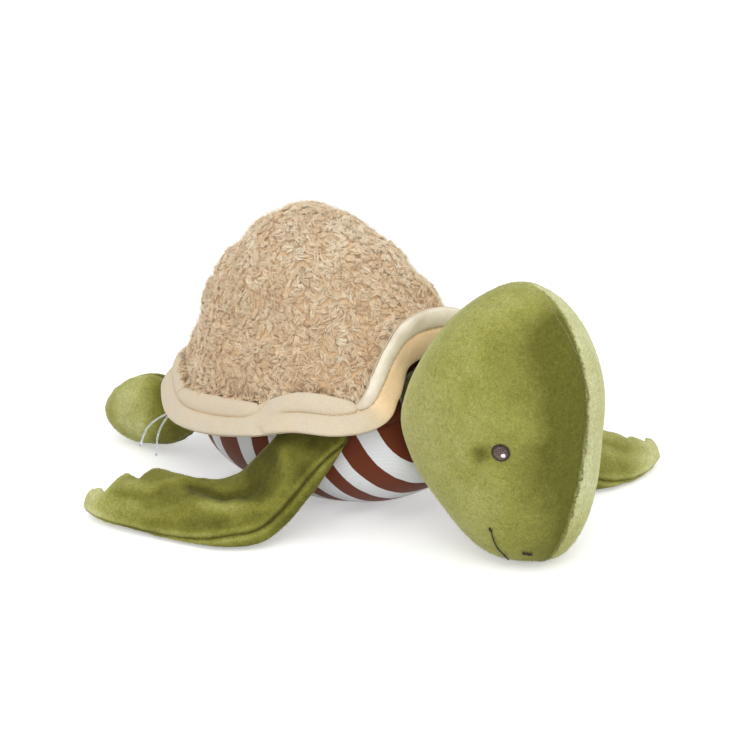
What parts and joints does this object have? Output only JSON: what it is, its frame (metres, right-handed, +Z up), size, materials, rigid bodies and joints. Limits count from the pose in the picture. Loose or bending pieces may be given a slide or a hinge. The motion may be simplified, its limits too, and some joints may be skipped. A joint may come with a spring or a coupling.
{
  "type": "plush sea turtle",
  "caption": "Stuffed plush sea turtle lying on its belly, with a curly-pile domed shell in a padded scalloped rim, a striped body, a large head on a soft neck, flippers and hind feet.",
  "frame": {"origin": "on the floor, on the belly's flat rest face, in the plane that halves the torso and the head left from right", "axes": "+Z up; the turtle looks along -Y, and its own left side is +X"},
  "size_m": [0.3277, 0.3765, 0.179],
  "materials": {
    "velour_green": "short velour pile, olive green",
    "velour_green_light": "short velour pile, light olive green",
    "velour_cream": "short velour pile, cream",
    "curly_pile_sand": "long curly pile, sand",
    "striped_jersey": "smooth jersey in brown and pale blue stripes",
    "polyester_filling": "loose white fibre",
    "embroidery_thread": "satin-stitched dark brown thread",
    "clear_nylon": "clear, glossy"
  },
  "bodies": {
    "torso": {"back_cover": "striped_jersey", "belly_cover": "striped_jersey", "body_stuffing": "polyester_filling", "shell_fur": "curly_pile_sand", "shell_stuffing": "polyester_filling", "rim_top": "velour_cream", "rim_under": "velour_cream"},
    "neck": {"neck_cover": "velour_green", "neck_stuffing": "polyester_filling"},
    "head": {"head_side_left": "velour_green_light", "head_side_right": "velour_green_light", "head_stuffing": "polyester_filling", "eye_left": "embroidery_thread", "eye_right": "embroidery_thread"},
    "flipper_right": {"flipper_right_top": "velour_green", "flipper_right_under": "velour_green", "flipper_right_stuffing": "polyester_filling"},
    "flipper_left": {"flipper_left_top": "velour_green", "flipper_left_under": "velour_green", "flipper_left_stuffing": "polyester_filling"},
    "foot_right": {"foot_right_outer": "velour_green", "foot_right_inner": "velour_green", "foot_right_stuffing": "polyester_filling"},
    "foot_left": {"foot_left_outer": "velour_green", "foot_left_inner": "velour_green", "foot_left_stuffing": "polyester_filling"},
    "strands": {"strand_front": "clear_nylon", "strand_rear": "clear_nylon"}
  },
  "joints": [
    {"name": "neck_turn", "type": "hinge", "parent": "torso", "child": "neck", "pos_m": [0, -0.09, 0.079], "axis": [0, -1, 0], "range_deg": [-20, 20], "stiffness_Nm_per_rad": 0.12},
    {"name": "head_nod", "type": "hinge", "parent": "neck", "child": "head", "pos_m": [0, -0.09, 0.079], "axis": [-1, 0, 0], "range_deg": [0, 10]},
    {"name": "flipper_right_lift", "type": "hinge", "parent": "torso", "child": "flipper_right", "pos_m": [-0.06232, -0.04688, 0.06148], "axis": [-0.2171, 0.9664, -0.138], "range_deg": [0, 20]},
    {"name": "flipper_left_lift", "type": "hinge", "parent": "torso", "child": "flipper_left", "pos_m": [0.0621, -0.04688, 0.06148], "axis": [-0.2142, -0.967, 0.1381], "range_deg": [0, 20]},
    {"name": "foot_right_swing", "type": "hinge", "parent": "torso", "child": "foot_right", "pos_m": [-0.038, 0.08509, 0.03472], "axis": [0, 0.1368, 0.9906], "range_deg": [-15, 15], "stiffness_Nm_per_rad": 0.02},
    {"name": "foot_left_swing", "type": "hinge", "parent": "torso", "child": "foot_left", "pos_m": [0.038, 0.08509, 0.03472], "axis": [0, 0.1368, 0.9906], "range_deg": [-15, 15], "stiffness_Nm_per_rad": 0.02},
    {"name": "strands_swing", "type": "hinge", "parent": "torso", "child": "strands", "pos_m": [-0.07452, 0.0729, 0.04768], "axis": [0.4652, 0.8852, 0], "range_deg": [-15, 20], "stiffness_Nm_per_rad": 0.00002}
  ]
}
